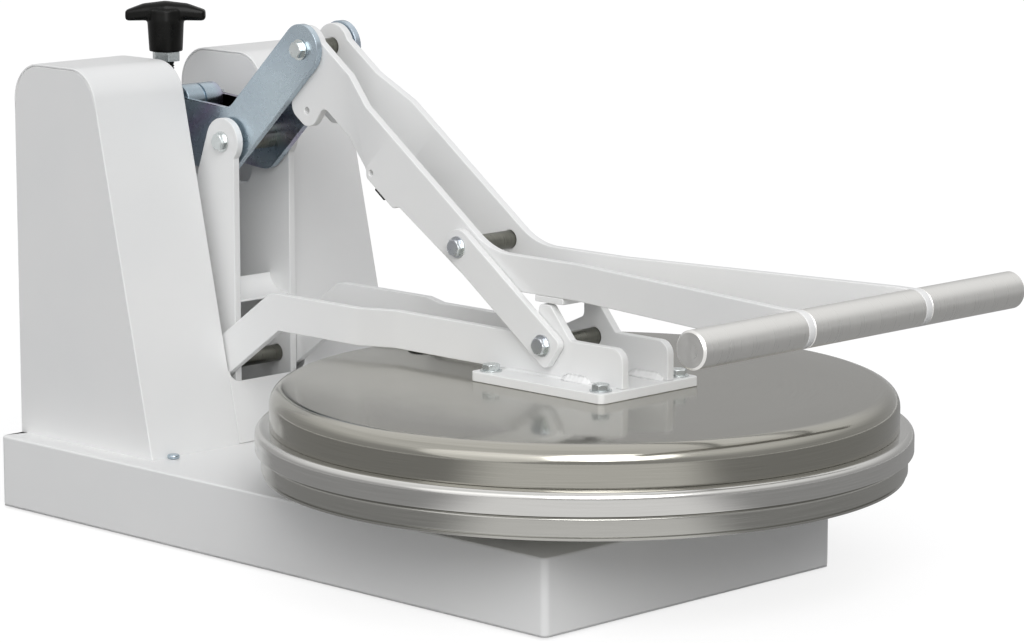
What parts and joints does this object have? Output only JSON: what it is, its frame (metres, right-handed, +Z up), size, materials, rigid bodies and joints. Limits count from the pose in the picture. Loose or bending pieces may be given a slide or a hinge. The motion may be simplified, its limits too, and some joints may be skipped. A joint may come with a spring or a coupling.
{
  "type": "dough press",
  "caption": "Manual clamshell dough press: a toggle handle with a cross grip lowers a round covered platen on a fixed one, and a T-handled screw sets the gap.",
  "frame": {"origin": "floor level under the middle of the base pan, at the face of the middle foot", "axes": "+X to the operator's right, the operator stands on the -Y side, +Z up"},
  "size_m": [0.4571, 0.7272, 0.3757],
  "materials": {
    "white_paint": "white powder coat, semi-gloss",
    "zinc": "bright zinc plate with a bluish cast",
    "dark_steel": "plain turned steel, slightly dark",
    "black_steel": "black oxide",
    "black_plastic": "moulded black phenolic",
    "rubber": "matte",
    "grip_aluminium": "fine turned",
    "stainless": "brushed stainless",
    "platen_aluminium": "turned and polished"
  },
  "bodies": {
    "frame": {"base_pan": "white_paint", "base_bottom": "dark_steel", "rubber_feet": "rubber", "left_tower": "white_paint", "right_tower": "white_paint", "front_apron": "white_paint", "rear_panel": "white_paint", "cover_screws": "zinc", "left_upright": "white_paint", "right_upright": "white_paint", "upright_foot": "white_paint", "upright_bolts": "zinc", "upright_tie": "white_paint", "adjuster_bar": "dark_steel", "crank_shaft": "zinc", "platen_pedestal": "dark_steel", "lower_platen": "platen_aluminium"},
    "crank": {"left_crank": "zinc", "right_crank": "zinc", "crank_spacer": "zinc"},
    "trunnion": {"trunnion": "dark_steel"},
    "knob": {"adjusting_screw": "black_steel", "jam_nut": "dark_steel", "t_handle": "black_plastic"},
    "head_shaft": {"head_shaft": "zinc"},
    "handle": {"left_arm": "white_paint", "right_arm": "white_paint", "left_grip": "grip_aluminium", "middle_grip": "grip_aluminium", "right_grip": "grip_aluminium", "grip_rod": "dark_steel", "toggle_shaft": "dark_steel", "arm_stop": "rubber", "rest_bar": "white_paint"},
    "link": {"toggle_link": "white_paint", "link_bolt": "zinc"},
    "rear_shaft": {"rear_shaft": "dark_steel", "shaft_clips": "dark_steel"},
    "press": {"left_lever": "white_paint", "right_lever": "white_paint", "ear_shaft": "dark_steel", "bracket_plate": "white_paint", "bracket_washers": "zinc", "bracket_bolts": "zinc", "platen_cover": "stainless", "platen_block": "dark_steel", "upper_platen": "platen_aluminium"}
  },
  "joints": [
    {"name": "knob_turn", "type": "hinge", "parent": "frame", "child": "knob", "pos_m": [0, 0.258, 0.3], "axis": [0, 0, 1], "range_deg": [0, 1440]},
    {"name": "crank_tilt", "type": "hinge", "parent": "frame", "child": "crank", "pos_m": [0, 0.16, 0.2795], "axis": [-1, 0, 0], "range_deg": [0, 4.6]},
    {"name": "trunnion_swivel", "type": "hinge", "parent": "crank", "child": "trunnion", "pos_m": [0, 0.258, 0.283], "axis": [-1, 0, 0], "range_deg": [-4.6, 0]},
    {"name": "head_shaft_turn", "type": "hinge", "parent": "crank", "child": "head_shaft", "pos_m": [0, 0.0825, 0.353], "axis": [-1, 0, 0], "range_deg": [-3.4, 0]},
    {"name": "handle_swing", "type": "hinge", "parent": "head_shaft", "child": "handle", "pos_m": [0, 0.0825, 0.353], "axis": [-1, 0, 0], "range_deg": [0, 45]},
    {"name": "rear_shaft_turn", "type": "hinge", "parent": "frame", "child": "rear_shaft", "pos_m": [0, 0.163, 0.113], "axis": [-1, 0, 0], "range_deg": [0, 2]},
    {"name": "press_lift", "type": "hinge", "parent": "rear_shaft", "child": "press", "pos_m": [0, 0.163, 0.113], "axis": [-1, 0, 0], "range_deg": [0, 21]},
    {"name": "link_swing", "type": "hinge", "parent": "press", "child": "link", "pos_m": [0, -0.17412, 0.1686], "axis": [-1, 0, 0], "range_deg": [-73.6, 0]}
  ],
  "couplings": [
    {"joint": "crank_tilt", "follows": "knob_turn", "ratio": 0.0031735},
    {"joint": "trunnion_swivel", "follows": "knob_turn", "ratio": -0.0031735},
    {"joint": "head_shaft_turn", "follows": "knob_turn", "ratio": -0.0023011},
    {"joint": "rear_shaft_turn", "follows": "knob_turn", "ratio": 0.0013744},
    {"joint": "press_lift", "follows": "handle_swing", "ratio": 0.46629},
    {"joint": "link_swing", "follows": "handle_swing", "ratio": -1.6334}
  ]
}
